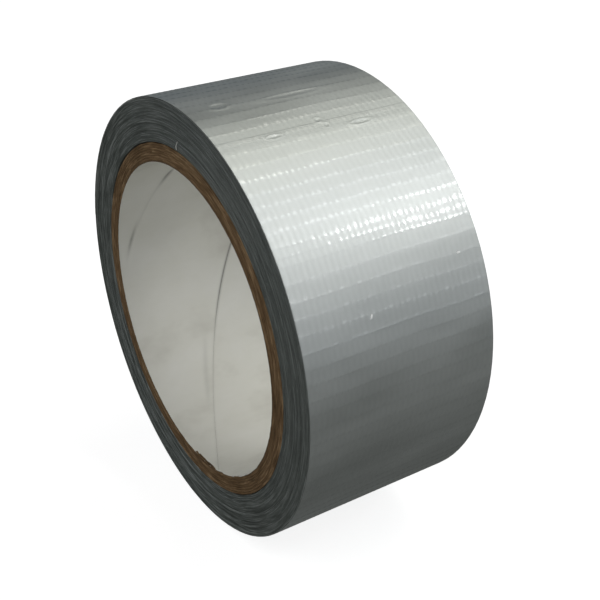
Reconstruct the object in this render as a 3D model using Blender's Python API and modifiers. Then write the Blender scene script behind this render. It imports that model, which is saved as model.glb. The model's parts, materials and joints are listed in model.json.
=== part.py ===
"""Duct tape roll: a spirally wound paperboard core, the tape wound on it, and the free end of the tape.

Metres, +Z up. The roll stands on its rim with its axis along Y, and the origin is the middle of its bore.
In the roll's own frame (the empty roll_axis) the axis is local Z, and an angle of 0 points to +X and 90 to +Z.
"""

from math import cos, pi, radians, sin

import bpy

# ---- driving dimensions ----
TAPE_WIDTH = 0.048
BORE_RADIUS = 0.0385
ROLL_RADIUS = 0.0535  # over the outermost turn
FACETS_PER_TURN = 72  # corners stand half a facet off the axes, so the roll rests on a flat

# ---- paperboard core ----
LINER_THICKNESS = 0.0003
PLY_THICKNESS = 0.0006
PLY_COUNT = 7
GLUE_LINE = 0.00005  # left open between one ply and the next
SEAM_LEAD = 0.117  # how far along the axis a ply's butt seam runs in one turn
SEAM_WIDTH = 0.0003
LINER_SEAM_ANGLE = 215.0  # where the liner's seam crosses the middle of the width, degrees
SEAM_STAGGER = 135.0  # from one ply's seam to the next, so that no two seams lie together

# ---- the tape: film over cloth scrim over adhesive ----
TAPE_THICKNESS = 0.00021
FILM_THICKNESS = 0.00007
SCRIM_THICKNESS = 0.00005
ADHESIVE_THICKNESS = 0.00006
LAYER_GAP = 0.00001  # under each layer
CORE_GAP = 0.00002  # between the core and the first turn

# ---- the free end, which peels off the roll in short lengths ----
PEEL_ANGLE = 112.5  # where the tape leaves the roll, degrees
TAIL_SEGMENTS = 4
FACETS_PER_SEGMENT = 3
SEGMENT_GAP = 0.00006  # between the lengths, measured along the tape
WASTE_OVERRUN = 0.002  # how far a seam cutter runs past what it cuts

FACET_ANGLE = 360.0 / FACETS_PER_TURN
FIRST_CORNER = FACET_ANGLE / 2
TIP_ANGLE = PEEL_ANGLE + TAIL_SEGMENTS * FACETS_PER_SEGMENT * FACET_ANGLE
CORE_RADIUS = BORE_RADIUS + LINER_THICKNESS + PLY_COUNT * PLY_THICKNESS
BLADE_STEPS = 24


def clear_scene():
    for old in list(bpy.data.objects):
        bpy.data.objects.remove(old, do_unlink=True)


def new_collection(name):
    collection = bpy.data.collections.new(name)
    bpy.context.scene.collection.children.link(collection)
    return collection


def principled(name, colour, roughness, metallic=0.0):
    """A plain material with one colour (linear RGB)."""
    material = bpy.data.materials.new(name)
    material.use_nodes = True
    shader = material.node_tree.nodes["Principled BSDF"]
    shader.inputs["Base Color"].default_value = (*colour, 1.0)
    shader.inputs["Roughness"].default_value = roughness
    shader.inputs["Metallic"].default_value = metallic
    material.diffuse_color = (*colour, 1.0)
    return material


def add_empty(name, parent=None, location=(0.0, 0.0, 0.0)):
    empty = bpy.data.objects.new(name, None)
    empty.empty_display_size = 0.01
    parts.objects.link(empty)
    empty.parent = parent
    empty.location = location
    return empty


def finish_part(part, parent, material):
    parts.objects.link(part)
    part.parent = parent
    part.data.materials.append(material)
    return part


# ---- the winding: an even spiral that gains one tape thickness in each turn ----


def wound_radius(angle):
    """Radius over the tape at an angle, counted back in turns from the tip of the free end."""
    return ROLL_RADIUS + TAPE_THICKNESS * (angle - TIP_ANGLE) / 360.0


def polar(radius, angle):
    return (radius * cos(radians(angle)), radius * sin(radians(angle)))


def flat_outline(name, loops):
    """A 2D curve with filled faces, pulled out to the full width of the tape."""
    curve = bpy.data.curves.new(name, "CURVE")
    curve.dimensions = "2D"
    curve.fill_mode = "BOTH"
    curve.extrude = TAPE_WIDTH / 2
    for loop in loops:
        spline = curve.splines.new("POLY")
        spline.points.add(len(loop) - 1)
        for point, (x, y) in zip(spline.points, loop):
            point.co = (x, y, 0.0, 1.0)
        spline.use_cyclic_u = True
    return bpy.data.objects.new(name, curve)


# ---- core ----


def add_ring(name, inner_radius, outer_radius, material):
    """A turned ring: a rectangular profile carried once round the roll's axis."""
    half = TAPE_WIDTH / 2
    profile = [
        (outer_radius, 0.0, half),
        (outer_radius, 0.0, -half),
        (inner_radius, 0.0, -half),
        (inner_radius, 0.0, half),
    ]
    mesh = bpy.data.meshes.new(name)
    mesh.from_pydata(profile, [(0, 1), (1, 2), (2, 3), (3, 0)], [])
    ring = finish_part(bpy.data.objects.new(name, mesh), roll_axis, material)
    ring.rotation_euler.z = radians(FIRST_CORNER)
    turn = ring.modifiers.new("turn", "SCREW")
    turn.axis = "Z"
    turn.angle = 2 * pi
    turn.steps = turn.render_steps = FACETS_PER_TURN
    turn.use_merge_vertices = True
    turn.merge_threshold = 1e-6
    return ring


def add_seam_blade(name, inner_radius, outer_radius, seam_angle):
    """A thin helical blade, from a radial line that climbs along the axis as it turns."""
    length = TAPE_WIDTH + 2 * WASTE_OVERRUN
    turned = length / SEAM_LEAD * 2 * pi
    start = -length / 2
    line = [
        (inner_radius - WASTE_OVERRUN, 0.0, start),
        (outer_radius + WASTE_OVERRUN, 0.0, start),
    ]
    mesh = bpy.data.meshes.new(name)
    mesh.from_pydata(line, [(0, 1)], [])
    blade = bpy.data.objects.new(name, mesh)
    cutters.objects.link(blade)
    blade.parent = roll_axis
    blade.rotation_euler.z = radians(seam_angle) - turned / 2
    blade.hide_render = True
    blade.display_type = "WIRE"
    climb = blade.modifiers.new("climb", "SCREW")
    climb.axis = "Z"
    climb.angle = turned
    climb.screw_offset = length
    climb.steps = climb.render_steps = BLADE_STEPS
    climb.use_merge_vertices = False
    thick = blade.modifiers.new("thick", "SOLIDIFY")
    thick.thickness = SEAM_WIDTH
    thick.offset = 0.0
    return blade


def add_ply(name, inner_radius, outer_radius, seam_angle, material):
    """One strip of board, wound on a slant until its edges meet in a helical butt seam."""
    ply = add_ring(name, inner_radius, outer_radius, material)
    seam = ply.modifiers.new("butt seam", "BOOLEAN")
    seam.operation = "DIFFERENCE"
    seam.object = add_seam_blade(name + "_seam", inner_radius, outer_radius, seam_angle)
    return ply


def add_core():
    liner_outer = BORE_RADIUS + LINER_THICKNESS
    add_ply("core_liner", BORE_RADIUS, liner_outer - GLUE_LINE, LINER_SEAM_ANGLE, liner_paper)
    for number in range(1, PLY_COUNT + 1):
        outer = liner_outer + number * PLY_THICKNESS
        seam_angle = LINER_SEAM_ANGLE + number * SEAM_STAGGER
        add_ply(f"core_ply_{number}", outer - PLY_THICKNESS, outer - GLUE_LINE, seam_angle, kraft_board)


# ---- tape ----


def add_wound_tape():
    """Every turn that is stuck down, with the last turn's edge standing one thickness high at the peel line."""
    corners = range(FACETS_PER_TURN + 1)
    outside = [PEEL_ANGLE - 360.0 + corner * FACET_ANGLE for corner in corners]
    inside = [FIRST_CORNER + corner * FACET_ANGLE for corner in range(FACETS_PER_TURN)]
    rim = [polar(wound_radius(angle), angle) for angle in outside]
    hole = [polar(CORE_RADIUS + CORE_GAP, angle) for angle in inside]
    return finish_part(flat_outline("wound_tape", [rim, hole]), roll_axis, tape_edges)


def hinge_place(segment):
    """The corner on the outside of the film where a length of the free end starts."""
    angle = PEEL_ANGLE + segment * FACETS_PER_SEGMENT * FACET_ANGLE
    return (*polar(wound_radius(angle), angle), 0.0)


def layer_outline(segment, depth, thickness):
    """Closed outline of one layer of one length; depth is measured in from the outside of the film."""
    first = PEEL_ANGLE + segment * FACETS_PER_SEGMENT * FACET_ANGLE
    trim = SEGMENT_GAP / 2 / ROLL_RADIUS * 180.0 / pi
    angles = [first + corner * FACET_ANGLE for corner in range(FACETS_PER_SEGMENT + 1)]
    angles[0] += trim
    angles[-1] -= trim
    outer = [polar(wound_radius(angle) - depth, angle) for angle in angles]
    inner = [polar(wound_radius(angle) - depth - thickness, angle) for angle in angles]
    return outer + inner[::-1]


def add_free_end():
    """The loose end, in short lengths that each hinge on the one before, as the tape curls off the roll."""
    layers = [
        ("film", FILM_THICKNESS, silver_film),
        ("scrim", SCRIM_THICKNESS, scrim_cloth),
        ("adhesive", ADHESIVE_THICKNESS, tape_adhesive),
    ]
    parent = roll_axis
    parent_place = (0.0, 0.0, 0.0)
    for segment in range(TAIL_SEGMENTS):
        place = hinge_place(segment)
        offset = tuple(here - there for here, there in zip(place, parent_place))
        hinge = add_empty(f"peel_hinge_{segment + 1}", parent, offset)
        depth = 0.0
        for layer, thickness, material in layers:
            outline = layer_outline(segment, depth, thickness)
            moved = [(x - place[0], y - place[1]) for x, y in outline]
            finish_part(flat_outline(f"tail_{layer}_{segment + 1}", [moved]), hinge, material)
            depth += thickness + LAYER_GAP
        parent = hinge
        parent_place = place


def shade_round_parts():
    for part in parts.objects:
        if part.type != "MESH":
            continue
        part.data.shade_smooth()
        part.data.set_sharp_from_angle(angle=radians(30.0))


clear_scene()
parts = new_collection("duct_tape_roll")
cutters = new_collection("seam_cutters")
roll_axis = add_empty("roll_axis")
roll_axis.rotation_euler.x = pi / 2

liner_paper = principled("liner_paper", (0.62, 0.61, 0.57), 0.75)
kraft_board = principled("kraft_board", (0.13, 0.075, 0.035), 0.9)
tape_edges = principled("tape_edges", (0.05, 0.06, 0.062), 0.55)
silver_film = principled("silver_film", (0.42, 0.43, 0.43), 0.35, 0.4)
scrim_cloth = principled("scrim_cloth", (0.55, 0.55, 0.52), 0.9)
tape_adhesive = principled("tape_adhesive", (0.5, 0.5, 0.46), 0.5)

add_core()
add_wound_tape()
add_free_end()
shade_round_parts()
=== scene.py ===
# %% [markdown]
# # A roll of duct tape
#
# This lesson dresses a duct tape roll whose frame is already made: a slanted-wound paperboard core, the
# turns of tape stuck together on it, and a free end that peels off the back. The frame fixes every size
# and every hinge. Here each piece gets the shape and the finish that a hand would feel: ribs of cloth
# under the film, tape edges in fine layers, fibrous board and a creased paper lining.
#
# All lengths are in metres, +Z is up, and the roll's axis runs along Y through the origin.

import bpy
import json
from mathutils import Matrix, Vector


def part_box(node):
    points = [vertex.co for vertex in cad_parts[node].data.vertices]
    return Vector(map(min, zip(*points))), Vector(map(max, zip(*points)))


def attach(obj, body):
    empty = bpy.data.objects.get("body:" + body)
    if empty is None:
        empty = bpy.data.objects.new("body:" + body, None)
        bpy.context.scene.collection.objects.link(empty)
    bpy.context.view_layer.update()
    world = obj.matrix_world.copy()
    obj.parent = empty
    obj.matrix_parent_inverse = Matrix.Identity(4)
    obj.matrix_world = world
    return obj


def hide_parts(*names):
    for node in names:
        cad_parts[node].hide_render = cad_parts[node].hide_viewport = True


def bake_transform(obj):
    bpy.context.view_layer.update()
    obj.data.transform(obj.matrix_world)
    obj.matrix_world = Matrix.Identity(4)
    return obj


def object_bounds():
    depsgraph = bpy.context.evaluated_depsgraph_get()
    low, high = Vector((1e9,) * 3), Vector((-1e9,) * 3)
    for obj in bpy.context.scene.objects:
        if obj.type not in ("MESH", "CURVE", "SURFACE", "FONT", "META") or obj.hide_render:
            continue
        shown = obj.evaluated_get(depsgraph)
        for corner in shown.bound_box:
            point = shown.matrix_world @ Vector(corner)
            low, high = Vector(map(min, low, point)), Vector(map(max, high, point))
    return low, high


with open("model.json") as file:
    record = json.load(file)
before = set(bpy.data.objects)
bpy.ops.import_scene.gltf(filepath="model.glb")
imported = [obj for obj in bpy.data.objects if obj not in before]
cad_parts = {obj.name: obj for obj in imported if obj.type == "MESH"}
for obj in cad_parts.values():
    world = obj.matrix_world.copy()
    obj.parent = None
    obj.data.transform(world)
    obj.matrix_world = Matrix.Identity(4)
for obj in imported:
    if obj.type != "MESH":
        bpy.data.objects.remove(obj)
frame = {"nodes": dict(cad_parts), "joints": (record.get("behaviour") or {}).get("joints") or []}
cad_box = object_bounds()
print("frame box", [round(v, 4) for corner in cad_box for v in corner])

# %% Libraries and two units
import json
import math

import bmesh
import bpy
import numpy as np
from mathutils import Vector

MM = 0.001
TURN = 360.0

# %% [markdown]
# ## What the frame says
#
# A wound thing is easiest to describe by radius, angle and place along the axis. An angle of 0 points
# to +X and 90 points up. Every radius and angle is read from the frame's own pieces, so that nothing
# here has to be fitted afterwards.

# %% Read radii and angles from the frame


def reach(node):
    """Smallest and largest radius of a frame piece about the roll's axis."""
    points = np.array([v.co for v in frame["nodes"][node].data.vertices])
    radii = np.hypot(points[:, 0], points[:, 2])
    return radii.min(), radii.max()


def angle_of(x, z):
    return math.degrees(math.atan2(z, x)) % TURN


WARP_COUNT = 33
NOMINAL_THICKNESS = 0.21 * MM

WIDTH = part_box("wound_tape")[1].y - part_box("wound_tape")[0].y
WARP_PITCH = WIDTH / WARP_COUNT
BORE_RADIUS = reach("core_liner")[0]
ROLL_RADIUS = reach("tail_film_4")[1]
CORE_RADIUS = reach("wound_tape")[0]
hinges = [Vector(joint["pos_m"]) for joint in frame["joints"]]
hinge_angles = [angle_of(h.x, h.z) for h in hinges]
SEGMENT_ANGLE = hinge_angles[1] - hinge_angles[0]
PEEL_ANGLE = hinge_angles[0]
TIP_ANGLE = PEEL_ANGLE + len(hinges) * SEGMENT_ANGLE
TURNS = round((ROLL_RADIUS - CORE_RADIUS) / NOMINAL_THICKNESS)
PITCH = (ROLL_RADIUS - CORE_RADIUS) / TURNS
print(f"width {WIDTH / MM:.1f} mm, bore {2 * BORE_RADIUS / MM:.1f} mm, core {2 * CORE_RADIUS / MM:.1f} mm")
print(f"roll {2 * ROLL_RADIUS / MM:.1f} mm, {TURNS} turns of {PITCH / MM:.3f} mm tape")
print(f"the tape peels from {PEEL_ANGLE:.1f} degrees to its tip at {TIP_ANGLE:.1f}")

# %% [markdown]
# ## Camera
#
# The roll is seen from the front right and from above, far enough off that its ends taper only a
# little. The camera's place and its two turning angles say all of that, and the lens does the rest.

# %% Camera
CAMERA_PLACE = (199.2 * MM, -119.6 * MM, 132.4 * MM)
CAMERA_AZIMUTH = 57.43
CAMERA_ELEVATION = 29.95
CAMERA_LENS = 64.86

camera = bpy.data.objects.new("camera", bpy.data.cameras.new("camera"))
bpy.context.scene.collection.objects.link(camera)
camera.location = CAMERA_PLACE
camera.rotation_euler = (math.radians(90.0 - CAMERA_ELEVATION), 0.0, math.radians(CAMERA_AZIMUTH))
camera.data.lens = CAMERA_LENS
camera.data.clip_start = 0.01
camera.data.clip_end = 50.0
bpy.context.scene.camera = camera
bpy.context.scene.view_settings.view_transform = "Standard"
print("camera stands", round(Vector(CAMERA_PLACE).length / MM), "mm from the middle of the bore")

# %% [markdown]
# ## Floor, surroundings and lamps
#
# A silver film shows its surroundings more than its own colour, so the surroundings are part of the
# finish. Four soft lamps stand in an arc behind and to the right, from low to overhead: they make the
# broad band round the film and reach into the bore through its far end. A smaller one, the spark, is
# what the shiny dashes on the film show. Two in front light the end face and the wall of the bore, and
# one at the left lights the film's far side. The room is dim, and bluer above the horizon, which gives
# the dark underside and the blue-grey line along the top. The floor is there to look at and to take
# the shadow. It is kept out of the reflections, which leaves the low parts dark.

# %% Floor
FLOOR_HALF = 8.0
FLOOR_GLOW = (0.84, 1.0)  # near the roll and far off; lifts the floor to a plain pale tone
FLOOR_FADE = (0.25, 2.5)  # metres from the roll between which the glow rises
FLOOR_GREY = 0.4

floor_z = cad_box[0].z
floor_mesh = bpy.data.meshes.new("floor")
corners = [(-1, -1), (1, -1), (1, 1), (-1, 1)]
floor_points = [(x * FLOOR_HALF, y * FLOOR_HALF, floor_z) for x, y in corners]
floor_mesh.from_pydata(floor_points, [], [(0, 1, 2, 3)])
floor = bpy.data.objects.new("floor", floor_mesh)
bpy.context.scene.collection.objects.link(floor)
floor.visible_glossy = False
floor.visible_diffuse = False
floor.visible_shadow = False
floor_paint = bpy.data.materials.new("floor_paint")
floor_paint.use_nodes = True
floor_shader = floor_paint.node_tree.nodes["Principled BSDF"]
floor_shader.inputs["Base Color"].default_value = (FLOOR_GREY, FLOOR_GREY, FLOOR_GREY, 1.0)
floor_shader.inputs["Roughness"].default_value = 0.9
floor_shader.inputs["Specular IOR Level"].default_value = 0.1
floor_shader.inputs["Emission Color"].default_value = (1.0, 1.0, 1.0, 1.0)

# %% Node helpers


def add(tree, kind, inputs=None, **settings):
    """A new shader node; inputs may be numbers, colours or another node's output."""
    node = tree.nodes.new("ShaderNode" + kind)
    for name, value in settings.items():
        setattr(node, name, value)
    for name, value in (inputs or {}).items():
        if isinstance(value, bpy.types.NodeSocket):
            tree.links.new(value, node.inputs[name])
        else:
            node.inputs[name].default_value = value
    return node


def calc(tree, operation, first, second=0.0, third=0.0):
    """One Math node's result."""
    return add(tree, "Math", {0: first, 1: second, 2: third}, operation=operation).outputs[0]


def ramp(tree, value, stops):
    """A colour ramp through (position, (r, g, b)) stops."""
    node = add(tree, "ValToRGB", {"Fac": value})
    elements = node.color_ramp.elements
    while len(elements) < len(stops):
        elements.new(0.5)
    for element, (position, colour) in zip(elements, stops):
        element.position = position
        element.color = (*colour, 1.0)
    return node.outputs["Color"]


# %% Glow of the floor
floor_tree = floor_paint.node_tree
from_roll = add(floor_tree, "TexCoord").outputs["Object"]
far_off = add(floor_tree, "VectorMath", {0: from_roll}, operation="LENGTH").outputs["Value"]
fade = {"Value": far_off, "From Min": FLOOR_FADE[0], "From Max": FLOOR_FADE[1]}
fade.update({"To Min": FLOOR_GLOW[0], "To Max": FLOOR_GLOW[1]})
floor_glow = add(floor_tree, "MapRange", fade).outputs["Result"]
floor_tree.links.new(floor_glow, floor_shader.inputs["Emission Strength"])
floor_mesh.materials.append(floor_paint)

# %% Surroundings
SKY_STOPS = [
    (0.0, (0.065, 0.068, 0.064)),
    (0.44, (0.095, 0.1, 0.092)),
    (0.53, (0.01, 0.045, 0.085)),
    (0.75, (0.02, 0.025, 0.03)),
    (1.0, (0.03, 0.03, 0.03)),
]
BACKDROP = (1.0, 1.0, 1.0)

world = bpy.data.worlds.new("room")
bpy.context.scene.world = world
world.use_nodes = True
sky = world.node_tree
direction = add(sky, "TexCoord").outputs["Generated"]
parts_of = add(sky, "SeparateXYZ", {0: direction})
height = calc(sky, "MULTIPLY_ADD", parts_of.outputs["Z"], 0.5, 0.5)
glow = ramp(sky, height, SKY_STOPS)
seen = add(sky, "LightPath").outputs["Is Camera Ray"]
shown = add(sky, "Mix", data_type="RGBA")
sky.links.new(seen, shown.inputs["Factor"])
sky.links.new(glow, shown.inputs["A"])
shown.inputs["B"].default_value = (*BACKDROP, 1.0)
sky.links.new(shown.outputs["Result"], sky.nodes["Background"].inputs["Color"])
sky.nodes["Background"].inputs["Strength"].default_value = 1.0

# %% Lamps


def soft_lamp(name, towards, distance, size, power, colour=(1.0, 1.0, 1.0)):
    """A square lamp out along a direction, facing the roll."""
    light = bpy.data.lights.new(name, "AREA")
    light.shape = "RECTANGLE"
    light.size, light.size_y = size
    light.energy = power
    light.color = colour
    lamp = bpy.data.objects.new(name, light)
    bpy.context.scene.collection.objects.link(lamp)
    out = Vector(towards).normalized()
    lamp.location = out * distance
    lamp.rotation_euler = out.to_track_quat("Z", "Y").to_euler()
    lamp.visible_camera = False
    return lamp


soft_lamp("key_edge", (0.841, 0.447, 0.306), 1.3, (0.7, 0.7), 1.45)
soft_lamp("key_low", (0.61, 0.447, 0.654), 1.3, (0.7, 0.7), 1.1, (0.97, 1.0, 1.0))
soft_lamp("key_high", (0.2315, 0.447, 0.864), 1.3, (0.7, 0.7), 3.31, (0.985, 0.995, 1.0))
soft_lamp("key_top", (-0.2315, 0.447, 0.864), 1.3, (0.7, 0.7), 2.55, (1.0, 1.0, 0.9))
soft_lamp("front_high", (0.15, -0.6, 0.8), 1.6, (1.0, 1.0), 7.5)
soft_lamp("front_low", (0.8, -0.55, -0.1), 1.6, (1.0, 1.0), 7.0)
soft_lamp("spark", (0.493, 0.6, 0.654), 1.35, (0.28, 0.25), 2.3)
soft_lamp("back_left", (-0.55, -0.65, 0.5), 1.6, (1.3, 1.3), 5.0)

# %% [markdown]
# ## One mesh tool for wound things
#
# Nearly every piece of a roll is a strip wound round the axis: it has rows along its length and a
# closed outline across it. So one helper takes a grid of points, rows by outline, and makes a closed
# skin with its two ends capped. It also stores, on every point, where that point lies on the strip:
# the length along it, the place across it and the radius. Finishes read that, so a pattern stays on
# the tape even where the tape bends.

# %% Strip builder
collection = bpy.data.collections.new("duct_tape_roll")
bpy.context.scene.collection.children.link(collection)


def on_roll(radius, angle, across):
    """Points from radius, angle in degrees and place along the axis."""
    turn = np.radians(angle)
    radius, turn, across = np.broadcast_arrays(radius, turn, across)
    return np.stack([radius * np.cos(turn), across, radius * np.sin(turn)], axis=-1)


def closed_skin(name, points, lay, material, sharp=40.0, merge=False, caps=None):
    """A closed mesh from points[row, outline]; lay holds the strip place of each point."""
    rows, outline = points.shape[:2]
    index = np.arange(rows * outline).reshape(rows, outline)
    beside = np.roll(index, -1, axis=1)
    quads = np.stack([index[:-1], beside[:-1], beside[1:], index[1:]], axis=-1).reshape(-1, 4)
    caps = [list(range(outline))] if caps is None else caps
    first = [index[0][cap[::-1]].tolist() for cap in caps]
    last = [index[-1][cap].tolist() for cap in caps]
    mesh = bpy.data.meshes.new(name)
    mesh.from_pydata(points.reshape(-1, 3).tolist(), [], quads.tolist() + first + last)
    place = mesh.attributes.new("lay", "FLOAT_VECTOR", "POINT")
    place.data.foreach_set("vector", lay.reshape(-1).astype(np.float32))
    return finish_mesh(name, mesh, material, sharp, merge)


def finish_mesh(name, mesh, material, sharp=40.0, merge=False):
    """Turns the skin outwards, shades it, gives it its finish and puts it in the scene."""
    work = bmesh.new()
    work.from_mesh(mesh)
    if merge:
        bmesh.ops.remove_doubles(work, verts=work.verts, dist=1e-7)
    if work.calc_volume(signed=True) < 0:
        bmesh.ops.reverse_faces(work, faces=work.faces)
    work.to_mesh(mesh)
    work.free()
    mesh.shade_smooth()
    mesh.set_sharp_from_angle(angle=math.radians(sharp))
    mesh.materials.append(material)
    piece = bpy.data.objects.new(name, mesh)
    collection.objects.link(piece)
    return piece


def store_number(piece, name, values):
    """Keeps one number for each point of a piece, for its finish to read."""
    kept = piece.data.attributes.new(name, "FLOAT", "POINT")
    kept.data.foreach_set("value", np.asarray(values).reshape(-1).astype(np.float32))


def ripple(x, wavelength, seed):
    """Smooth noise along x with about that wavelength, between -1 and 1."""
    source = np.random.default_rng(seed)
    rates = source.uniform(0.6, 1.5, 7) * 2 * np.pi / wavelength
    phases = source.uniform(0, 2 * np.pi, 7)
    return np.cos(np.multiply.outer(x, rates) + phases).sum(axis=-1) / 4.0


# %% [markdown]
# ## Finishes
#
# Each finish is a Principled shader with its colour, roughness and bump worked out from the strip
# place. Silver film is a plastic full of aluminium powder: partly metallic, with a wide soft gloss.

# %% Read the strip place in a finish


def new_finish(name):
    """A new material, its node tree and its shader."""
    material = bpy.data.materials.new(name)
    material.use_nodes = True
    tree = material.node_tree
    return material, tree, tree.nodes["Principled BSDF"]


def strip_place(tree, scale=(1.0, 1.0, 1.0)):
    """The stored strip place, stretched by scale, as a vector for a texture."""
    stored = add(tree, "Attribute", attribute_name="lay")
    return add(tree, "VectorMath", {0: stored.outputs["Vector"], 1: scale}, operation="MULTIPLY").outputs[0]


def noise(tree, vector, scale, detail=2.0, roughness=0.5):
    inputs = {"Vector": vector, "Scale": scale, "Detail": detail, "Roughness": roughness}
    return add(tree, "TexNoise", inputs).outputs["Fac"]


def bump(tree, height, distance, strength=1.0, normal=None):
    inputs = {"Height": height, "Distance": distance, "Strength": strength}
    if normal is not None:
        inputs["Normal"] = normal
    return add(tree, "Bump", inputs).outputs["Normal"]


def remap(tree, value, low, high, to_low, to_high):
    inputs = {"Value": value, "From Min": low, "From Max": high, "To Min": to_low, "To Max": to_high}
    return add(tree, "MapRange", inputs).outputs["Result"]


# %% Silver film
FILM_ROUGHNESS = (0.43, 0.5)
FILM_COAT_IOR = 1.9
FILM_COAT = (0.03, 1.0)  # away from the weft yarns, and on them
FILM_COAT_ROUGHNESS = 0.07


def silver_film():
    """Plastic full of aluminium powder, shinier where it is drawn tight over the weft yarns."""
    material, tree, shader = new_finish("silver_film")
    stored = add(tree, "Attribute", attribute_name="lay")
    across = add(tree, "SeparateXYZ", {0: stored.outputs["Vector"]}).outputs["Y"]
    fine = noise(tree, strip_place(tree, (1.0, 1.0, 0.0)), 2600.0, 2.0)
    cloud = noise(tree, strip_place(tree, (1.0, 0.35, 0.0)), 90.0, 3.0)
    streaks = noise(tree, strip_place(tree, (0.25, 1.0, 0.0)), 1300.0, 3.0)
    rib = calc(tree, "COSINE", calc(tree, "MULTIPLY", across, 2.0 * math.pi / WARP_PITCH))
    shade = calc(tree, "MULTIPLY_ADD", rib, 0.045, cloud)
    shade = calc(tree, "MULTIPLY_ADD", streaks, 0.16, calc(tree, "SUBTRACT", shade, 0.08))
    tone = ramp(tree, shade, [(0.25, (0.46, 0.48, 0.465)), (0.75, (0.57, 0.59, 0.575))])
    tree.links.new(tone, shader.inputs["Base Color"])
    shader.inputs["Metallic"].default_value = 0.8
    rough = remap(tree, cloud, 0.3, 0.7, *FILM_ROUGHNESS)
    tree.links.new(rough, shader.inputs["Roughness"])
    gloss = add(tree, "Attribute", attribute_name="gloss").outputs["Fac"]
    tree.links.new(remap(tree, gloss, 0.0, 1.0, *FILM_COAT), shader.inputs["Coat Weight"])
    shader.inputs["Coat Roughness"].default_value = FILM_COAT_ROUGHNESS
    shader.inputs["Coat IOR"].default_value = FILM_COAT_IOR
    first = bump(tree, streaks, 0.012 * MM, 0.6)
    tree.links.new(bump(tree, fine, 0.006 * MM, 0.5, first), shader.inputs["Normal"])
    return material


# %% Cut tape edges


def cut_tape():
    """The slit edges of many turns: fine dark and light layers that wander a little."""
    material, tree, shader = new_finish("cut_tape_edges")
    wobble = noise(tree, strip_place(tree, (1.0, 0.0, 0.3)), 420.0, 2.0)
    slow = noise(tree, strip_place(tree, (1.0, 0.0, 0.2)), 90.0, 2.0)
    shift = calc(tree, "MULTIPLY_ADD", wobble, 0.35 * MM, calc(tree, "MULTIPLY", slow, 0.6 * MM))
    moved = add(tree, "CombineXYZ", {2: shift}).outputs[0]
    even = strip_place(tree, (0.03, 0.0, 1.0))
    place = add(tree, "VectorMath", {0: even, 1: moved}, operation="ADD").outputs[0]
    layers = noise(tree, place, 3600.0, 2.0, 0.6)
    bands = noise(tree, place, 800.0, 2.0)
    both = calc(tree, "MULTIPLY_ADD", bands, 0.4, calc(tree, "MULTIPLY", layers, 0.6))
    stops = [
        (0.4, (0.02, 0.024, 0.021)),
        (0.5, (0.066, 0.074, 0.067)),
        (0.6, (0.21, 0.225, 0.213)),
    ]
    tree.links.new(ramp(tree, both, stops), shader.inputs["Base Color"])
    shader.inputs["Roughness"].default_value = 0.42
    shader.inputs["Specular IOR Level"].default_value = 0.5
    tree.links.new(bump(tree, layers, 0.05 * MM, 0.8), shader.inputs["Normal"])
    return material


# %% Kraft board


def kraft_board():
    """Brown board with fibres that run round the core."""
    material, tree, shader = new_finish("board_fibre")
    fibres = noise(tree, strip_place(tree, (0.25, 1.0, 4.0)), 1000.0, 4.0, 0.65)
    patches = noise(tree, strip_place(tree, (1.0, 1.0, 3.0)), 140.0, 3.0)
    both = calc(tree, "MULTIPLY_ADD", patches, 0.4, calc(tree, "MULTIPLY", fibres, 0.6))
    stops = [(0.34, (0.05, 0.029, 0.013)), (0.5, (0.135, 0.083, 0.041)), (0.66, (0.3, 0.2, 0.11))]
    tree.links.new(ramp(tree, both, stops), shader.inputs["Base Color"])
    shader.inputs["Roughness"].default_value = 0.95
    shader.inputs["Specular IOR Level"].default_value = 0.15
    tree.links.new(bump(tree, fibres, 0.12 * MM, 0.9), shader.inputs["Normal"])
    return material


# %% Liner paper


def liner_paper():
    """White paper with smudges, painted shade in its creases and a darker band along its seam; its cut end,
    where its thickness shows, is painted dark brown as shade.
    """
    material, tree, shader = new_finish("lining_paper")
    stored = add(tree, "Attribute", attribute_name="lay")
    radius = add(tree, "SeparateXYZ", {0: stored.outputs["Vector"]}).outputs["Z"]
    grain = noise(tree, strip_place(tree, (1.0, 1.0, 0.0)), 1800.0, 4.0, 0.7)
    smudge = noise(tree, strip_place(tree, (1.0, 0.6, 0.0)), 60.0, 4.0, 0.6)
    stops = [(0.3, (0.56, 0.545, 0.49)), (0.48, (0.66, 0.65, 0.59)), (0.7, (0.7, 0.69, 0.64))]
    face = ramp(tree, smudge, stops)
    # painted shade: the lining's cut end, where its thickness shows, is coloured dark brown
    cut_end_dark = calc(tree, "GREATER_THAN", radius, BORE_RADIUS + 0.05 * MM)
    # painted shade in the creases and the darker band along the seam mix the paper towards dark grey
    how_dark = add(tree, "Attribute", attribute_name="painted_darkness").outputs["Fac"]
    darkened = add(tree, "Mix", data_type="RGBA")
    tree.links.new(how_dark, darkened.inputs["Factor"])
    tree.links.new(face, darkened.inputs["A"])
    darkened.inputs["B"].default_value = (0.1, 0.1, 0.09, 1.0)
    face = darkened.outputs["Result"]
    mixed = add(tree, "Mix", data_type="RGBA")
    tree.links.new(cut_end_dark, mixed.inputs["Factor"])
    tree.links.new(face, mixed.inputs["A"])
    mixed.inputs["B"].default_value = (0.11, 0.07, 0.035, 1.0)
    tree.links.new(mixed.outputs["Result"], shader.inputs["Base Color"])
    shader.inputs["Roughness"].default_value = 0.65
    shader.inputs["Specular IOR Level"].default_value = 0.3
    tree.links.new(bump(tree, grain, 0.02 * MM, 0.5), shader.inputs["Normal"])
    return material


# %% Adhesive and yarn


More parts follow.
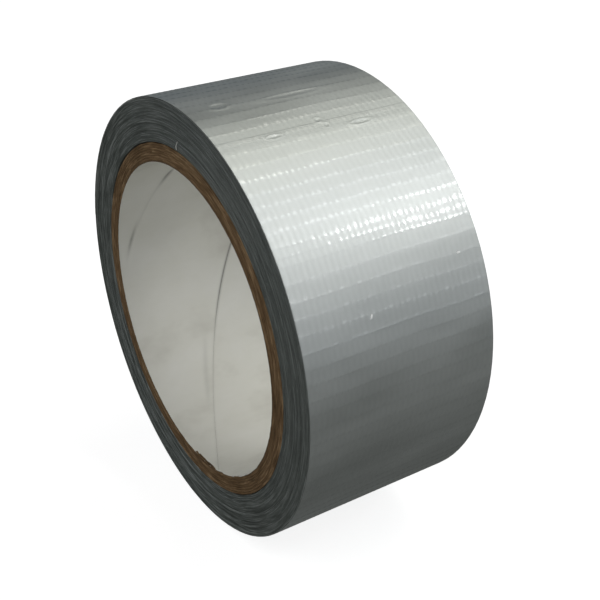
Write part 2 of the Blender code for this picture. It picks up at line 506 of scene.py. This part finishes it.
def adhesive():
    """Grey-white rubber adhesive, slightly mottled."""
    material, tree, shader = new_finish("adhesive")
    mottle = noise(tree, strip_place(tree), 400.0, 3.0)
    tone = ramp(tree, mottle, [(0.3, (0.56, 0.57, 0.53)), (0.7, (0.68, 0.69, 0.65))])
    tree.links.new(tone, shader.inputs["Base Color"])
    shader.inputs["Roughness"].default_value = 0.35
    tree.links.new(bump(tree, mottle, 0.02 * MM, 0.5), shader.inputs["Normal"])
    return material


def white_chip():
    """A torn chip of white paper."""
    material, tree, shader = new_finish("white_chip")
    fibres = noise(tree, strip_place(tree), 3000.0)
    tint = ramp(tree, fibres, [(0.3, (0.8, 0.8, 0.78)), (0.7, (0.92, 0.92, 0.91))])
    tree.links.new(tint, shader.inputs["Base Color"])
    shader.inputs["Roughness"].default_value = 0.6
    return material


def cotton_yarn():
    """Undyed twisted yarn."""
    material, tree, shader = new_finish("cotton_yarn")
    twist = noise(tree, strip_place(tree, (1.0, 1.0, 1.0)), 5000.0, 2.0)
    tone = ramp(tree, twist, [(0.3, (0.66, 0.65, 0.6)), (0.7, (0.84, 0.83, 0.78))])
    tree.links.new(tone, shader.inputs["Base Color"])
    shader.inputs["Roughness"].default_value = 0.85
    tree.links.new(bump(tree, twist, 0.02 * MM, 0.6), shader.inputs["Normal"])
    return material


FILM = silver_film()
TAPE_EDGE = cut_tape()
BOARD = kraft_board()
LINER = liner_paper()
GLUE = adhesive()
YARN = cotton_yarn()
CHIP = white_chip()
print("finishes", [m.name for m in (FILM, TAPE_EDGE, BOARD, LINER, GLUE, YARN, CHIP)])

# %% [markdown]
# ## The stuck turns
#
# Tape is slit to width and wound under tension, and no turn lands quite on the one below. Seen end on,
# that makes the fine rings. The stuck turns are one closed ring here, with three rows of points for
# each turn: a valley where two turns meet, and the crown of the tape's edge. The rows follow the true
# spiral, so after one lap each turn runs on into the next.

# %% The spiral


def wound_radius(turns):
    """Radius over the tape after so many turns from the core."""
    return ROLL_RADIUS - PITCH * (TURNS - turns)


PROUD_TURNS = [(9.4, 0.5), (24.3, 0.45), (37.8, 0.5)]  # where turns stand proud, and the spread
PROUD_HEIGHT = 0.16 * MM


def slip(turns):
    """How far the tape's edge lies in from its place: small everywhere, and larger at a few turns."""
    slow = 0.06 * MM * ripple(turns, 9.0, 11)
    quick = 0.045 * MM * ripple(turns, 0.9, 12)
    fine = 0.02 * MM * ripple(turns, 0.17, 13)
    proud = sum(-PROUD_HEIGHT * np.exp(-(((turns - at) / spread) ** 2)) for at, spread in PROUD_TURNS)
    return slow + quick + fine + proud


LAPS = TURNS - 3  # laps of the spiral below the turns that are made in full
COLUMNS = 300
LAY_PER_TURN = 0.3  # metres along the tape for one turn, near enough for a finish
EDGE_STEPS = [(0.0, 0.055 * MM), (0.3, 0.0), (0.72, 0.006 * MM)]  # share of the thickness, depth


def stuck_turns():
    row = np.arange(COLUMNS + 1)[:, None] / COLUMNS
    ring = [(lap, share, depth) for lap in range(LAPS) for share, depth in EDGE_STEPS]
    lap = np.array([r[0] for r in ring] + [LAPS])[None, :]
    share = np.array([r[1] for r in ring] + [0.0])[None, :]
    depth = np.array([r[2] for r in ring] + [EDGE_STEPS[0][1]])[None, :]
    turns = lap + row
    radius = wound_radius(turns + share)
    angle = TIP_ANGLE + TURN * row + 0 * turns
    inset = slip(turns) + depth
    front = on_roll(radius, angle, -WIDTH / 2 + inset)
    back = on_roll(radius, angle, WIDTH / 2 + slip(turns) - depth)
    length = turns * LAY_PER_TURN
    lay_front = np.stack([length, -WIDTH / 2 + inset, radius], axis=-1)
    lay_back = np.stack([length, WIDTH / 2 - inset, radius], axis=-1)
    points = np.concatenate([front, back[:, ::-1]], axis=1)
    lay = np.concatenate([lay_front, lay_back[:, ::-1]], axis=1)
    piece = closed_skin("stuck_turns", points, lay, TAPE_EDGE, sharp=180.0, merge=True)
    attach(piece, "roll")
    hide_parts("wound_tape")
    return piece


piece = stuck_turns()
print("stuck turns:", len(piece.data.polygons), "faces")

# %% [markdown]
# ## The film's relief
#
# Under the film lies an open cloth: warp yarns along the tape and weft yarns across it. The film is
# pressed over them, so it shows a rib for each warp yarn, a straight line for each weft yarn with small
# puckers where the yarns cross, and it spans nearly flat from one weft yarn to the next. The relief is
# one function of the place on the strip, and every length of film uses it, so the pattern runs on
# unbroken from the last turn into the free end.

# %% Places of the weft yarns, as length before the tip
WEFT_PITCH = 3.45 * MM
# a stretch where the yarns lie unevenly, in mm before the tip
UNEVEN_WEFTS = [85.7, 89.0, 92.2, 95.7, 98.8, 102.3, 105.8, 109.2, 112.2, 115.0]
UNEVEN_WEFTS += [117.9, 121.2, 123.3, 125.1, 128.6, 132.5, 135.8, 139.2, 142.9, 146.2]
STRIP_END = 760.0 * MM  # longer than the two last turns
WEFT_JITTER = 0.35

near_tip = np.arange(UNEVEN_WEFTS[0] * MM - WEFT_PITCH, -2 * WEFT_PITCH, -WEFT_PITCH)
far_from_tip = np.arange(UNEVEN_WEFTS[-1] * MM + WEFT_PITCH, STRIP_END, WEFT_PITCH)
jitter = np.random.default_rng(20).uniform(-WEFT_JITTER, WEFT_JITTER, len(far_from_tip)) * MM
WEFTS = np.sort(-np.concatenate([near_tip, np.array(UNEVEN_WEFTS) * MM, far_from_tip + jitter]))
print("weft yarns:", len(WEFTS))

# %% Relief of the film
RIB_HEIGHT = 0.013 * MM
RIDGE_HEIGHT = 0.01 * MM
RIDGE_HALF_WIDTH = 0.22 * MM
PUCKER_HEIGHT = 0.022 * MM
PUCKER_HALF_WIDTH = 0.23 * MM
PRESSED_HALF_WIDTH = 0.5 * MM  # beside a weft yarn the ribs are lower
DASH_HALF_WIDTH = 0.45 * MM
SPAN_HOLLOW = 0.6  # 1 is a film sunk as deep as one drawn flat between weft yarns

# dents and creases: angle, place along the axis, half length and half width in mm, depth in mm
DENTS = [
    (68.0, 10.4, 1.9, 0.45, 0.09),
    (69.4, -10.7, 1.2, 0.4, 0.08),
    (71.6, 1.3, 0.6, 0.5, 0.08),
    (69.4, 2.3, 0.4, 0.5, 0.08),
    (83.7, 1.5, 5.0, 0.7, 0.06),
    (85.2, -15.9, 1.5, 1.0, 0.1),
    (101.0, -14.0, 3.0, 1.3, 0.09),
    (97.0, 9.0, 6.0, 1.0, 0.05),
]


def dent_depth(along, across):
    """How deep the dents are at a place: a hollow with a low rim round it."""
    total = np.zeros(np.broadcast(along, across).shape)
    for angle, place, half_across, half_along, depth in DENTS:
        at = math.radians(angle - TIP_ANGLE) * ROLL_RADIUS
        far = ((along - at) / (half_along * MM)) ** 2 + ((across - place * MM) / (half_across * MM)) ** 2
        total += depth * MM * (np.exp(-far) - 0.6 * np.exp(-((np.sqrt(far) - 1.6) ** 2) * 4))
    return total


CHANCES = np.random.default_rng(26).uniform(0, 1, (97, 89))


def chance_of(first, second):
    """A repeatable number from 0 to 1 for each pair of whole numbers."""
    row = np.mod(first, CHANCES.shape[0]).astype(int)
    return CHANCES[row, np.mod(second, CHANCES.shape[1]).astype(int)]


def in_warps(along, across):
    """Place across the tape counted in warp yarns, which run a little crooked."""
    return (across + 0.1 * MM * ripple(along, 60 * MM, 21)) / WARP_PITCH


def among_wefts(along, across):
    """The nearest weft yarn, how far off it is, the share of the open span passed and the span's length."""
    skewed = along + 0.12 * MM * ripple(across, 25 * MM, 23)
    after = np.clip(np.searchsorted(WEFTS, skewed), 1, len(WEFTS) - 1)
    left, right = WEFTS[after - 1], WEFTS[after]
    number = np.where(skewed - left < right - skewed, after - 1, after)
    return number, skewed - WEFTS[number], (skewed - left) / (right - left), right - left


def film_relief(along, across):
    """Height of the film over its lowest lie; along is 0 at the tip and negative before it."""
    along, across = np.broadcast_arrays(along, across)
    warps = in_warps(along, across)
    warp = np.cos(2 * np.pi * warps)
    cell = np.floor(warps)
    firm = 0.75 + 0.25 * ripple(along + 3 * across, 14 * MM, 22)
    number, off, share, length = among_wefts(along, across)
    span = -SPAN_HOLLOW * length**2 / (8 * ROLL_RADIUS) * (1 - np.cos(2 * np.pi * share)) / 2
    chance = chance_of(number, cell)
    whole = chance_of(number, 5)
    drawn = 0.75 + 0.35 * ripple(across + 40 * MM * whole, 22 * MM, 24) + 0.5 * (whole - 0.5)
    ridge = RIDGE_HEIGHT * drawn * np.exp(-((off / RIDGE_HALF_WIDTH) ** 2))
    streak = ripple(along / (4 * MM) + 37.0 * chance_of(cell, 3), 1.0, 25)
    near = np.exp(-((off - 0.14 * MM * (chance - 0.5)) / PUCKER_HALF_WIDTH) ** 2)
    pucker = PUCKER_HEIGHT * near * (0.25 + 0.75 * warp) * (chance - 0.25)
    pressed = 1 - 0.65 * np.exp(-((off / PRESSED_HALF_WIDTH) ** 2))
    rib = RIB_HEIGHT * warp * pressed * (firm + 0.45 * streak)
    sunk = np.clip(span * drawn, -0.08 * MM, 0)
    return rib + sunk + ridge + pucker - dent_depth(along, across)


def film_gloss(along, across):
    """Where the film is drawn tight and shiny: a dash at each warp yarn along each weft yarn."""
    warps = in_warps(along, across)
    number, off, _, _ = among_wefts(along, across)
    chance = chance_of(number + 31, np.floor(warps + 0.5))
    place = off - 0.3 * MM * (chance - 0.5)
    dash = np.clip(0.35 + 1.3 * np.cos(2 * np.pi * warps) + 1.2 * (chance - 0.5), 0, 1)
    return dash * np.exp(-((place / DASH_HALF_WIDTH) ** 2))


# %% [markdown]
# ## The last turns and their film
#
# The last turn that is stuck down, and the one under it that shows when the free end is peeled, are
# made in full: a ribbed film, and below it the backing of cloth and adhesive whose cut edges show dark.

# %% Strips on the spiral
FILM_THICKNESS = 0.07 * MM
BACKING_TOP = FILM_THICKNESS + 0.024 * MM
BACKING_BOTTOM = PITCH - 0.002 * MM
ACROSS_SAMPLES = 133  # four for each warp yarn
UNDERSIDE_SPANS = 6
CLEARANCE = 0.05 * MM  # rows nearer to a strip's end than this are left out
ROW_OFFSETS = (-0.5 * MM, -0.28 * MM, -0.1 * MM, 0.1 * MM, 0.28 * MM, 0.5 * MM)
SPAN_SHARES = (0.29, 0.43, 0.57, 0.71)  # rows in the open span between two weft yarns
DENT_OFFSETS = (-1.3, -0.8, -0.4, 0.0, 0.4, 0.8, 1.3)  # mm either side of a dent


def along_at(angle):
    """Length along the strip at a winding angle, 0 at the tip."""
    return np.radians(angle - TIP_ANGLE) * ROLL_RADIUS


def rows_between(first, last):
    """Winding angles from first to last, close together at every weft yarn."""
    low, high = along_at(first), along_at(last)
    dents = [along_at(dent[0]) + offset * MM for dent in DENTS for offset in DENT_OFFSETS]
    between = [WEFTS[:-1] + share * np.diff(WEFTS) for share in SPAN_SHARES]
    places = np.sort(np.concatenate([WEFTS + offset for offset in ROW_OFFSETS] + between + [dents]))
    places = places[(places > low + CLEARANCE) & (places < high - CLEARANCE)]
    places = np.concatenate([[low], places, [high]])
    return TIP_ANGLE + np.degrees(places / ROLL_RADIUS)


def strip(name, angles, top, bottom, material, relief=False, samples=2, tip=None):
    """A closed strip on the spiral; top and bottom are depths below the outside of the tape."""
    across = np.linspace(-WIDTH / 2, WIDTH / 2, samples)
    under = across[::-1][:: max(1, (samples - 1) // UNDERSIDE_SPANS)]
    if under[-1] != across[0]:
        under = np.append(under, across[0])
    outline = np.concatenate([across, under])[None, :]
    deep = np.concatenate([np.full(samples, top), np.full(len(under), bottom)])[None, :]
    angle = angles[:, None] + 0 * outline
    if tip is not None:
        share = (angles - angles[0]) / (angles[-1] - angles[0])
        angle = angle + share[:, None] * tip(outline)
    turns = TURNS + (angle - TIP_ANGLE) / TURN
    radius = wound_radius(turns) - deep
    along = along_at(angle)
    if relief:
        lift = film_relief(along, outline)
        radius = radius + np.where(np.arange(outline.shape[1])[None, :] < samples, lift, 0.0)
    edge = slip(turns) * np.sign(outline) * -1
    place = outline + np.where(np.abs(outline) > WIDTH / 2 - 1e-9, edge, 0.0)
    points = on_roll(radius, angle, place)
    lay = np.stack(np.broadcast_arrays(along, outline, radius), axis=-1)
    piece = closed_skin(name, points, lay, material)
    if relief:
        store_number(piece, "gloss", film_gloss(along + 0 * outline, outline + 0 * along))
    return piece


UNDER_START = TIP_ANGLE - 2 * TURN
UNDER_FINE = PEEL_ANGLE - TURN - 5.0  # just before the part that peeling uncovers
FILM_JOIN = -90.0  # the film is made in two lengths that meet under the roll
first_rows = np.concatenate([np.arange(UNDER_START, UNDER_FINE, 6.0), rows_between(UNDER_FINE, FILM_JOIN)])
last_rows = rows_between(FILM_JOIN, PEEL_ANGLE)
plain_rows = np.arange(UNDER_START, PEEL_ANGLE + 0.1, 2.0)
plain_rows[-1] = PEEL_ANGLE

first_film = strip("outer_turn_film_1", first_rows, 0.0, FILM_THICKNESS, FILM, True, ACROSS_SAMPLES)
outer_film = strip("outer_turn_film_2", last_rows, 0.0, FILM_THICKNESS, FILM, True, ACROSS_SAMPLES)
outer_back = strip("outer_turn_backing", plain_rows, BACKING_TOP, BACKING_BOTTOM, TAPE_EDGE)
for piece in (first_film, outer_film, outer_back):
    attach(piece, "roll")
print("outer film:", len(first_film.data.polygons), "and", len(outer_film.data.polygons), "faces")

# %% [markdown]
# ## The free end
#
# A peeled end of tape curls off the roll. The frame bends it at four hinges, so each layer is cut between
# hinges, a little past each one. The last length rides the last body; the others stay where they are
# made. The tip is torn: its edge wanders a little and a few yarns stick out.

# %% Lengths of the free end
BEND_REACH = 0.62  # how far after each hinge a length is cut, as a share of the way to the next
bodies = [joint["child"] for joint in frame["joints"]]
bend_ends = [angle + BEND_REACH * SEGMENT_ANGLE for angle in hinge_angles]
cuts = [PEEL_ANGLE] + bend_ends + [TIP_ANGLE]


def torn_edge(across):
    """How far round the torn tip reaches past its mean, in degrees."""
    return 0.35 * ripple(across, 9 * MM, 31) + 0.12 * ripple(across, 1.7 * MM, 32)


def rim_point(angle):
    """The point on the outside of the roll at an angle."""
    return tuple(on_roll(ROLL_RADIUS, np.array(angle), np.array(0.0)).tolist())


def place_length(piece, number):
    """Joins the last length of the free end to the last body and leaves the others where they are made;
    number 0 starts at the peel line.
    """
    if number == len(bodies):
        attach(piece, bodies[-1])
        return
    start, end = rim_point(cuts[number]), rim_point(cuts[number + 1])
    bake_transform(piece)


ADHESIVE_SAMPLES = 24
LAYERS = [
    ("film", 0.0, FILM_THICKNESS, FILM, "tape_film"),
    ("adhesive", 0.15 * MM, 0.19 * MM, GLUE, "tape_adhesive"),
]
for number in range(len(cuts) - 1):
    tip = torn_edge if number == len(cuts) - 2 else None
    for layer, top, bottom, material, slot in LAYERS:
        rows = rows_between(cuts[number], cuts[number + 1])
        ribbed = layer == "film"
        samples = ACROSS_SAMPLES if ribbed else ADHESIVE_SAMPLES
        name = f"free_end_{layer}_{number + 1}"
        piece = strip(name, rows, top, bottom, material, ribbed, samples, tip)
        place_length(piece, number)
        if number > 0:
            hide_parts(f"tail_{layer}_{number}")
print("free end:", len(cuts) - 1, "lengths of each layer")

# %% [markdown]
# ### The cloth in the free end
#
# The cloth is an open gauze, so it is made as yarns: flat tubes along the tape, one under each rib, and
# flat tubes across it, one under each weft line. Only the adhesive side shows them.

# %% Yarns
YARN_HALF_WIDTH = 0.19 * MM
YARN_HALF_THICKNESS = 0.028 * MM
YARN_DEPTH = 0.165 * MM
WEFT_YARN_DEPTH = YARN_DEPTH - 0.02 * MM
YARN_SIDES = 6
WARP_ROWS = 14
WEFT_ROWS = 40
YARN_MARGIN = 0.3 * MM  # weft yarns stay this far inside the edges and the ends
FRAYED_SHARE = 0.4  # of the warp yarns at the torn tip
FRAY = 1.3  # degrees that the longest of them reaches past the tip


def tube_faces(rows, sides, start):
    """Faces of one closed tube whose first point has the number start."""
    index = start + np.arange(rows * sides).reshape(rows, sides)
    beside = np.roll(index, -1, axis=1)
    quads = np.stack([index[:-1], beside[:-1], beside[1:], index[1:]], axis=-1).reshape(-1, 4)
    return quads.tolist() + [index[0][::-1].tolist(), index[-1].tolist()]


AROUND = np.linspace(0, 2 * np.pi, YARN_SIDES, endpoint=False)
ASIDE = YARN_HALF_WIDTH * np.cos(AROUND)[None, :]
INWARD = YARN_HALF_THICKNESS * np.sin(AROUND)[None, :]


def warp_yarn(number, first, last):
    """A flat tube along the tape: its winding angle, place along the strip, place across and depth."""
    middle = (number + 0.5) * WARP_PITCH - WIDTH / 2
    angle = np.linspace(first, last, WARP_ROWS)[:, None] + 0 * AROUND
    across = middle + ASIDE + 0.05 * MM * ripple(angle, 7.0, number)
    return angle, along_at(angle), across, YARN_DEPTH + INWARD


def weft_yarn(weft):
    """A flat tube across the tape, in the same terms."""
    reach_out = WIDTH / 2 - YARN_MARGIN
    across = np.linspace(-reach_out, reach_out, WEFT_ROWS)[:, None] + 0 * AROUND
    along = weft + ASIDE + 0 * across
    crooked = along + 0.06 * MM * ripple(across, 8 * MM, 60)
    return TIP_ANGLE + np.degrees(crooked / ROLL_RADIUS), along, across, WEFT_YARN_DEPTH + INWARD


def gauze(name, first, last, fray):
    """All the yarns between two winding angles, as one piece of cloth."""
    source = np.random.default_rng(41 + int(first))
    yarns = []
    for number in range(WARP_COUNT):
        longer = fray * source.uniform(-0.2, 1.0) if source.random() < FRAYED_SHARE else 0.0
        yarns.append(warp_yarn(number, first, last + longer))
    low, high = along_at(first) + YARN_MARGIN, along_at(last) - YARN_MARGIN
    yarns += [weft_yarn(weft) for weft in WEFTS[(WEFTS > low) & (WEFTS < high)]]
    points, lay, faces, count = [], [], [], 0
    for angle, along, across, deep in yarns:
        radius = wound_radius(TURNS + (angle - TIP_ANGLE) / TURN) - deep
        points.append(on_roll(radius, angle, across).reshape(-1, 3))
        lay.append(np.stack([along, across, radius], axis=-1).reshape(-1, 3))
        faces += tube_faces(len(angle), YARN_SIDES, count)
        count += angle.size
    mesh = bpy.data.meshes.new(name)
    mesh.from_pydata(np.concatenate(points).tolist(), [], faces)
    place = mesh.attributes.new("lay", "FLOAT_VECTOR", "POINT")
    place.data.foreach_set("vector", np.concatenate(lay).reshape(-1).astype(np.float32))
    return finish_mesh(name, mesh, YARN, 60.0)


for number in range(len(cuts) - 1):
    fray = FRAY if number == len(cuts) - 2 else 0.0
    piece = gauze(f"free_end_gauze_{number + 1}", cuts[number], cuts[number + 1], fray)
    place_length(piece, number)
    if number > 0:
        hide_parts(f"tail_scrim_{number}")

# %% [markdown]
# ## The core
#
# A paper tube is made on a mandrel: strips of board are wound on a slant, each with its edges butted
# together, and glued on top of one another. Cut to length, it shows each ply as a thin ring of torn
# fibres. Each ply is a strip whose rows lie along its slanted seam, so the seam is a real slit. On
# the innermost ply a few shreds of board hang into the bore.

# %% Plies
SEAM_LEAD = 117.0 * MM
SEAM_LEAST = 0.07 * MM
SEAM_GAPE = 0.13 * MM
LINER_SEAM_ANGLE = 215.0
SEAM_STAGGER = 135.0


def seam_width(across):
    """The butt seam gapes most at one place and nearly closes away from it."""
    return SEAM_LEAST + SEAM_GAPE * np.exp(-(((across - 4.5 * MM) / (6.5 * MM)) ** 2))


BOARD_ROWS = 280
BOARD_WALL = 34
SHRED_LENGTH = 0.75 * MM
END_REACH = 1.2 * MM  # how far in from the cut end its shape is felt


def slanted_strip(inner, outer, seam_angle, rows, wall, edge):
    """A ply: wall is the number of points along each side, edge(angle, share) its end shape."""
    across_wall = np.concatenate([[-1.0], np.linspace(-0.95, 0.95, wall - 2), [1.0]])
    share = np.array([0.12, 0.35, 0.65, 0.88])
    side = np.concatenate([across_wall, np.ones(4), across_wall[::-1], -np.ones(4)])[None, :]
    thick = np.concatenate([np.zeros(wall), share, np.ones(wall), share[::-1]])[None, :]
    across = side * WIDTH / 2
    gap = seam_width(across) / inner / (2 * np.pi)
    share_round = np.linspace(0, 1, rows)[:, None]
    turn = gap / 2 + (1 - gap) * share_round
    angle = seam_angle - across / SEAM_LEAD * TURN + turn * TURN
    radius = inner + (outer - inner) * thick
    at_end = np.abs(side) > 0.999
    push_out, push_in = edge(angle, thick)
    across = across + np.where(at_end, np.sign(side) * push_out, 0.0)
    from_end = (1 - np.abs(side)) * WIDTH / 2
    radius = radius - push_in * np.clip(1 - from_end / END_REACH, 0, 1)
    points = on_roll(radius, angle, across)
    lay = np.stack(np.broadcast_arrays(np.radians(angle) * inner, across, radius), axis=-1)
    return points, lay


def seam_caps(wall):
    """Faces that close a slanted strip at its seam, given by places in its outline."""
    far = 2 * wall + 3  # on the outside, opposite the outline's first point
    caps = [[i, i + 1, far - i - 1, far - i] for i in range(1, wall - 2)]
    caps.append([0, 1, far - 1] + list(range(far, far + 5)))
    caps.append(list(range(wall - 2, wall + 6)))
    return caps


def board_edge(number):
    """The end shape of one ply; shreds of the innermost one hang into the bore."""

    def shape(angle, thick):
        """Rounded, fibrous cut end, rougher low on the right: how far it comes out, and how far in."""
        crown = -0.10 * MM * (2 * thick - 1) ** 4
        fuzz = 0.02 * MM * ripple(angle, 2.3, 70 + number)
        fuzz = fuzz + 0.012 * MM * ripple(angle, 0.9, 80 + number)
        level = 0.03 * MM * ripple(angle, 60.0, 90 + number)
        place = angle % TURN
        rough = np.exp(-((place - 300.0) / 30.0) ** 2)
        burr_height = (0.5 if number < 3 else 0.15) * MM
        burr = rough * burr_height * np.clip(ripple(angle, 6.0, 95 + number), 0, 1)
        hang = np.exp(-(((place - 278.0) / 9.0) ** 4)) + 0.5 * np.exp(-(((place - 303.0) / 8.0) ** 4))
        shred = SHRED_LENGTH * hang * (0.8 + 0.2 * ripple(angle, 3.0, 99))
        inward = (number == 1) * (thick < 0.5) * (shred + 0.3 * burr)
        return crown + fuzz + level + 0.3 * burr, inward

    return shape


def add_board_plies():
    """Dresses every ply of the frame, and says how many there are."""
    names = sorted(n for n in frame["nodes"] if n.startswith("core_ply_"))
    for name in names:
        number = int(name.rsplit("_", 1)[1])
        inner, outer = reach(name)
        seam = LINER_SEAM_ANGLE + number * SEAM_STAGGER
        points, lay = slanted_strip(inner, outer, seam, BOARD_ROWS, BOARD_WALL, board_edge(number))
        caps = seam_caps(BOARD_WALL)
        piece = closed_skin(f"board_ply_{number}", points, lay, BOARD, sharp=50.0, caps=caps)
        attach(piece, "roll")
        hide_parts(name)
    return len(names)


print("board plies:", add_board_plies())

# %% [markdown]
# ## The lining
#
# The innermost ply is thin white paper. It has been handled: soft creases run across it on a slant,
# and its surface waves very slightly. The waves and creases are in the mesh, so light picks them out.
# The creases are also painted with shade, darker the deeper they are, and a darker band is painted
# along the seam.

# %% Lining


def lining_edge(angle, thick):
    """The end shape of the lining, in the same terms as a ply's."""
    rough = np.exp(-(((angle % TURN) - 300.0) / 32.0) ** 2)
    burr = rough * 0.5 * MM * np.clip(ripple(angle, 7.0, 96), 0, 1)
    return 0.02 * MM * ripple(angle, 4.0, 100) - burr, burr * 0.6


def crease(angle, across, at_angle, at_across, slope, half_length, width):
    """A soft line: 1 on the line, fading sideways over width and out at its ends."""
    gap = (angle - at_angle + 180.0) % TURN - 180.0
    arc = np.radians(gap) * BORE_RADIUS
    rise = across - at_across * MM
    lean = math.radians(slope)
    run = arc * math.cos(lean) - rise * math.sin(lean)
    off = arc * math.sin(lean) + rise * math.cos(lean)
    fade = 1 + np.exp((np.abs(run) - half_length * MM) / (1.5 * MM))
    return np.exp(-((off / (width * MM)) ** 2)) / fade


# angle, place along the axis, slope in degrees, half length, half width and depth in mm
CREASES = [
    (141.0, -12.6, 16.0, 2.2, 0.55, 0.2),
    (158.0, -16.5, 18.5, 8.0, 0.35, 0.025),
    (173.0, -20.3, 16.0, 2.4, 0.42, 0.15),
    (236.0, -9.0, 22.0, 9.0, 0.7, 0.03),
]


LINING_ROWS = 400
LINING_WALL = 110
SHADE_PER_DEPTH = 4.5  # painted shade: how dark a crease is painted, for each mm of its depth
SKIN_DEPTH = 0.1 * MM  # points nearer to the bore than this are on the lining's face
SEAM_DARK_HALF_WIDTH = 0.75  # mm
FOLD_HEIGHT = 0.05 * MM  # a soft fold beside the seam
# the darkest that the painted crease shade and the seam's band may make the paper
MOST_DARKENED = 0.9


def beside_seam(angle, across):
    """Distance round the bore from the lining's seam, in mm."""
    seam = LINER_SEAM_ANGLE - across / SEAM_LEAD * TURN
    return (np.mod(angle - seam + TURN / 2, TURN) - TURN / 2) * math.radians(1) * BORE_RADIUS / MM


def add_lining():
    """The paper lining with its waves, creases and seam, with painted shade in the creases and a darker
    band painted along the seam.
    """
    inner, outer = reach("core_liner")
    points, lay = slanted_strip(inner, outer, LINER_SEAM_ANGLE, LINING_ROWS, LINING_WALL, lining_edge)
    angle = np.degrees(np.arctan2(points[..., 2], points[..., 0]))
    across = points[..., 1]
    on_face = lay[..., 2] < inner + SKIN_DEPTH
    long_wave = 0.03 * MM * ripple(angle + across * 2000, 38.0, 110)
    short_wave = 0.015 * MM * ripple(angle - across * 900, 13.0, 111)
    creased = sum(depth * crease(angle, across, *where) for *where, depth in CREASES)
    from_seam = beside_seam(np.degrees(lay[..., 0] / inner), across)
    darkened = 1 / (1 + np.exp(-(across - 0.8 * MM) / (1.5 * MM)))  # the half of the seam that is painted darker
    # a darker band painted along the seam, darker on one half
    seam_darkening = np.exp(-((from_seam / SEAM_DARK_HALF_WIDTH) ** 2)) * (0.1 + 0.55 * darkened)
    seam_fold = -FOLD_HEIGHT * np.exp(-(((from_seam - 1.1) / 0.6) ** 2)) * (1 - darkened)
    # painted shade in the creases, darker the deeper they are, plus the darker band along the seam
    darkness_per_point = np.clip(SHADE_PER_DEPTH * creased + seam_darkening, 0, MOST_DARKENED) * on_face
    moved = np.hypot(points[..., 0], points[..., 2])
    moved = moved + (long_wave + short_wave + creased * MM + seam_fold) * on_face
    points = on_roll(moved, angle, across)
    piece = closed_skin("paper_lining", points, lay, LINER, sharp=50.0, caps=seam_caps(LINING_WALL))
    store_number(piece, "painted_darkness", darkness_per_point)
    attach(piece, "roll")
    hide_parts("core_liner")
    return piece


lining = add_lining()
print("lining:", len(lining.data.polygons), "faces")

# %% [markdown]
# ## Small things
#
# A loose end of yarn stands up where the tape starts on the core, and two chips of white paper stick
# to the film. Each is tiny and each is a closed solid.

# %% Loose yarn and paper chips


def fine_tube(name, path, radius, material, sides=8):
    """A round tube along a path of points, thinner towards its far end."""
    path = np.array(path)
    ahead = np.gradient(path, axis=0)
    ahead /= np.linalg.norm(ahead, axis=1)[:, None]
    side = np.cross(ahead, (0.0, 1.0, 0.0))
    side /= np.linalg.norm(side, axis=1)[:, None]
    up = np.cross(side, ahead)
    around = np.linspace(0, 2 * np.pi, sides, endpoint=False)
    share = np.linspace(0, 1, len(path))
    size = radius * (1 - 0.75 * share**3)
    ring = np.cos(around)[None, :, None] * side[:, None] + np.sin(around)[None, :, None] * up[:, None]
    points = path[:, None] + size[:, None, None] * ring
    lay = points.copy()
    return closed_skin(name, points, lay, material)


def loose_yarn():
    """The yarn that stands up over the end face, thinner towards its tip."""
    share = np.linspace(0, 1, 12)
    radius = (43.6 + 2.4 * share) * MM
    angle = 90.1 - 1.6 * share
    across = -WIDTH / 2 - (0.1 + 0.35 * np.sin(share * 2.6)) * MM
    piece = fine_tube("loose_yarn", on_roll(radius, angle, across), 0.1 * MM, YARN)
    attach(piece, "roll")


loose_yarn()


CHIP_CORNERS = 14
CHIP_RINGS = ((0.0, 1.0), (0.05, 0.95), (0.09, 0.5))  # height in mm and share of the outline


def paper_chip(name, angle, across, size, seed):
    """A flat torn chip stuck to the film, given by its size in mm along the tape and across it."""
    source = np.random.default_rng(seed)
    turn = np.linspace(0, 2 * np.pi, CHIP_CORNERS, endpoint=False)
    reach_out = source.uniform(0.55, 1.0, CHIP_CORNERS)
    along = size[0] * MM * np.cos(turn) * reach_out / 2
    aside = size[1] * MM * np.sin(turn) * reach_out / 2 + 0.3 * along
    level = wound_radius(TURNS + (angle - TIP_ANGLE) / TURN) + 0.01 * MM
    rings = []
    for height, share in CHIP_RINGS:
        where = angle + np.degrees(along * share / ROLL_RADIUS)
        rings.append(on_roll(level + height * MM, where, across * MM + aside * share))
    points = np.stack(rings)
    piece = closed_skin(name, points, points.copy(), CHIP)
    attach(piece, "roll")


paper_chip("paper_chip_1", 22.7, -6.7, (1.3, 0.7), 5)
paper_chip("paper_chip_2", 30.4, 17.9, (0.6, 1.3), 6)
